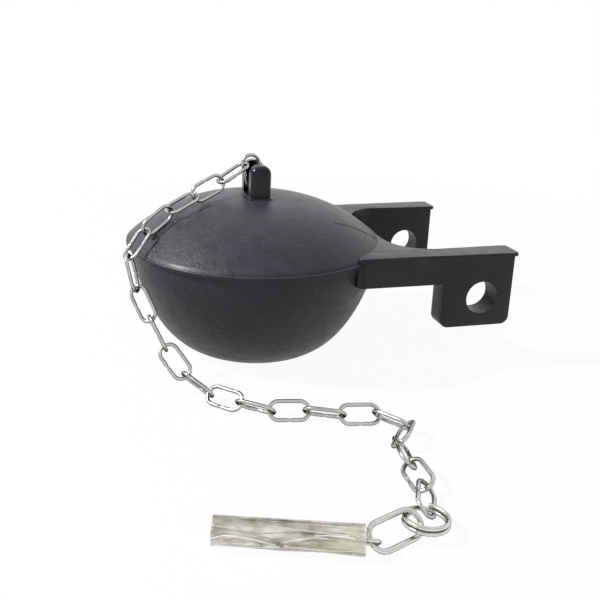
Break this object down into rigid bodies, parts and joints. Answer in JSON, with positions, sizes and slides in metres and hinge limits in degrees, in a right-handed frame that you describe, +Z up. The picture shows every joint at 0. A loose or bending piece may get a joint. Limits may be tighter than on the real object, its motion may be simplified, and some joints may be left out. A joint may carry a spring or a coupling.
{
  "type": "toilet flapper",
  "caption": "Hollow rubber bulb flapper with two eared arms, a lift chain laid over its dome and along the floor, and a ring, loop, hook and clear sleeve at the chain's end.",
  "frame": {"origin": "on the floor, at the middle of the whole lay-out's footprint", "axes": "+Z up, square to the flapper's sealing rim; +X from the bulb towards the ears; +Y across the arms, away from the laid-out chain"},
  "size_m": [0.1096, 0.1424, 0.0588],
  "materials": {
    "rubber": "satin moulded rubber",
    "steel": "bright drawn wire",
    "vinyl": "clear soft vinyl, slightly yellowed"
  },
  "bodies": {
    "flapper": {"flapper_body": "rubber"},
    "link_01": {"chain_link_01": "steel"},
    "link_02": {"chain_link_02": "steel"},
    "link_03": {"chain_link_03": "steel"},
    "link_04": {"chain_link_04": "steel"},
    "link_05": {"chain_link_05": "steel"},
    "link_06": {"chain_link_06": "steel"},
    "link_07": {"chain_link_07": "steel"},
    "link_08": {"chain_link_08": "steel"},
    "link_09": {"chain_link_09": "steel"},
    "link_10": {"chain_link_10": "steel"},
    "link_11": {"chain_link_11": "steel"},
    "link_12": {"chain_link_12": "steel"},
    "link_13": {"chain_link_13": "steel"},
    "link_14": {"chain_link_14": "steel"},
    "link_15": {"chain_link_15": "steel"},
    "link_16": {"chain_link_16": "steel"},
    "link_17": {"chain_link_17": "steel"},
    "link_18": {"chain_link_18": "steel"},
    "link_19": {"chain_link_19": "steel"},
    "link_20": {"chain_link_20": "steel"},
    "link_21": {"chain_link_21": "steel"},
    "ring": {"split_ring": "steel"},
    "loop": {"clasp_loop": "steel"},
    "hook": {"wire_hook": "steel", "clear_sleeve": "vinyl"}
  },
  "joints": [
    {"name": "link_01_turn", "type": "hinge", "parent": "flapper", "child": "link_01", "pos_m": [-0.01498, 0.03318, 0.0484], "axis": [0, 0, 1], "range_deg": [-12, 10]},
    {"name": "link_02_turn", "type": "hinge", "parent": "link_01", "child": "link_02", "pos_m": [-0.01833, 0.03338, 0.05545], "axis": [0, 0, -1], "range_deg": [-6, 12]},
    {"name": "link_03_turn", "type": "hinge", "parent": "link_02", "child": "link_03", "pos_m": [-0.02583, 0.03098, 0.05131], "axis": [0, 0, 1], "range_deg": [-12, 6]},
    {"name": "link_04_turn", "type": "hinge", "parent": "link_03", "child": "link_04", "pos_m": [-0.03366, 0.02857, 0.04783], "axis": [0, 0, -1], "range_deg": [-6, 12]},
    {"name": "link_05_turn", "type": "hinge", "parent": "link_04", "child": "link_05", "pos_m": [-0.04139, 0.02576, 0.04442], "axis": [0, 0, 1], "range_deg": [-12, 12]},
    {"name": "link_06_turn", "type": "hinge", "parent": "link_05", "child": "link_06", "pos_m": [-0.04831, 0.02263, 0.03977], "axis": [0, 0, -1], "range_deg": [-12, 12]},
    {"name": "link_07_turn", "type": "hinge", "parent": "link_06", "child": "link_07", "pos_m": [-0.05343, 0.0188, 0.03359], "axis": [0, 0, 1], "range_deg": [-14, 11]},
    {"name": "link_08_turn", "type": "hinge", "parent": "link_07", "child": "link_08", "pos_m": [-0.05184, 0.015, 0.02569], "axis": [0, 0, -1], "range_deg": [-14, 14]},
    {"name": "link_09_turn", "type": "hinge", "parent": "link_08", "child": "link_09", "pos_m": [-0.04856, 0.01089, 0.01852], "axis": [0, 0, 1], "range_deg": [-14, 14]},
    {"name": "link_10_turn", "type": "hinge", "parent": "link_09", "child": "link_10", "pos_m": [-0.04507, 0.00668, 0.01149], "axis": [0, 0, -1], "range_deg": [-14, 14]},
    {"name": "link_11_turn", "type": "hinge", "parent": "link_10", "child": "link_11", "pos_m": [-0.04038, 0.00244, 0.00523], "axis": [0, 0, 1], "range_deg": [-14, 14]},
    {"name": "link_12_turn", "type": "hinge", "parent": "link_11", "child": "link_12", "pos_m": [-0.03463, -0.00372, 0.00236], "axis": [0, 0, -1], "range_deg": [-26, 26]},
    {"name": "link_13_turn", "type": "hinge", "parent": "link_12", "child": "link_13", "pos_m": [-0.02816, -0.00983, 0.00229], "axis": [0, 0, 1], "range_deg": [-26, 26]},
    {"name": "link_14_turn", "type": "hinge", "parent": "link_13", "child": "link_14", "pos_m": [-0.02113, -0.01529, 0.00229], "axis": [0, 0, -1], "range_deg": [-23, 26]},
    {"name": "link_15_turn", "type": "hinge", "parent": "link_14", "child": "link_15", "pos_m": [-0.01235, -0.01675, 0.00229], "axis": [0, 0, 1], "range_deg": [-26, 26]},
    {"name": "link_16_turn", "type": "hinge", "parent": "link_15", "child": "link_16", "pos_m": [-0.00425, -0.02045, 0.00229], "axis": [0, 0, -1], "range_deg": [-26, 26]},
    {"name": "link_17_turn", "type": "hinge", "parent": "link_16", "child": "link_17", "pos_m": [0.00455, -0.02175, 0.00229], "axis": [0, 0, 1], "range_deg": [-20, 26]},
    {"name": "link_18_turn", "type": "hinge", "parent": "link_17", "child": "link_18", "pos_m": [0.00955, -0.02862, 0.00229], "axis": [0, 0, -1], "range_deg": [-26, 11]},
    {"name": "link_19_turn", "type": "hinge", "parent": "link_18", "child": "link_19", "pos_m": [0.00458, -0.03551, 0.00229], "axis": [0, 0, 1], "range_deg": [-26, 26]},
    {"name": "link_20_turn", "type": "hinge", "parent": "link_19", "child": "link_20", "pos_m": [0.00321, -0.0443, 0.00229], "axis": [0, 0, -1], "range_deg": [-26, 26]},
    {"name": "link_21_turn", "type": "hinge", "parent": "link_20", "child": "link_21", "pos_m": [0.00308, -0.0532, 0.00229], "axis": [0, 0, 1], "range_deg": [-22, 26]},
    {"name": "ring_turn", "type": "hinge", "parent": "link_21", "child": "ring", "pos_m": [-0.00081, -0.06121, 0.00229], "axis": [0, 0, -1], "range_deg": [-26, 21]},
    {"name": "loop_turn", "type": "hinge", "parent": "ring", "child": "loop", "pos_m": [-0.0065, -0.06545, 0.0025], "axis": [0, 0, 1], "range_deg": [-26, 9]},
    {"name": "hook_turn", "type": "hinge", "parent": "loop", "child": "hook", "pos_m": [-0.01558, -0.06863, 0.0028], "axis": [0, 0, -1], "range_deg": [-26, 9]}
  ]
}
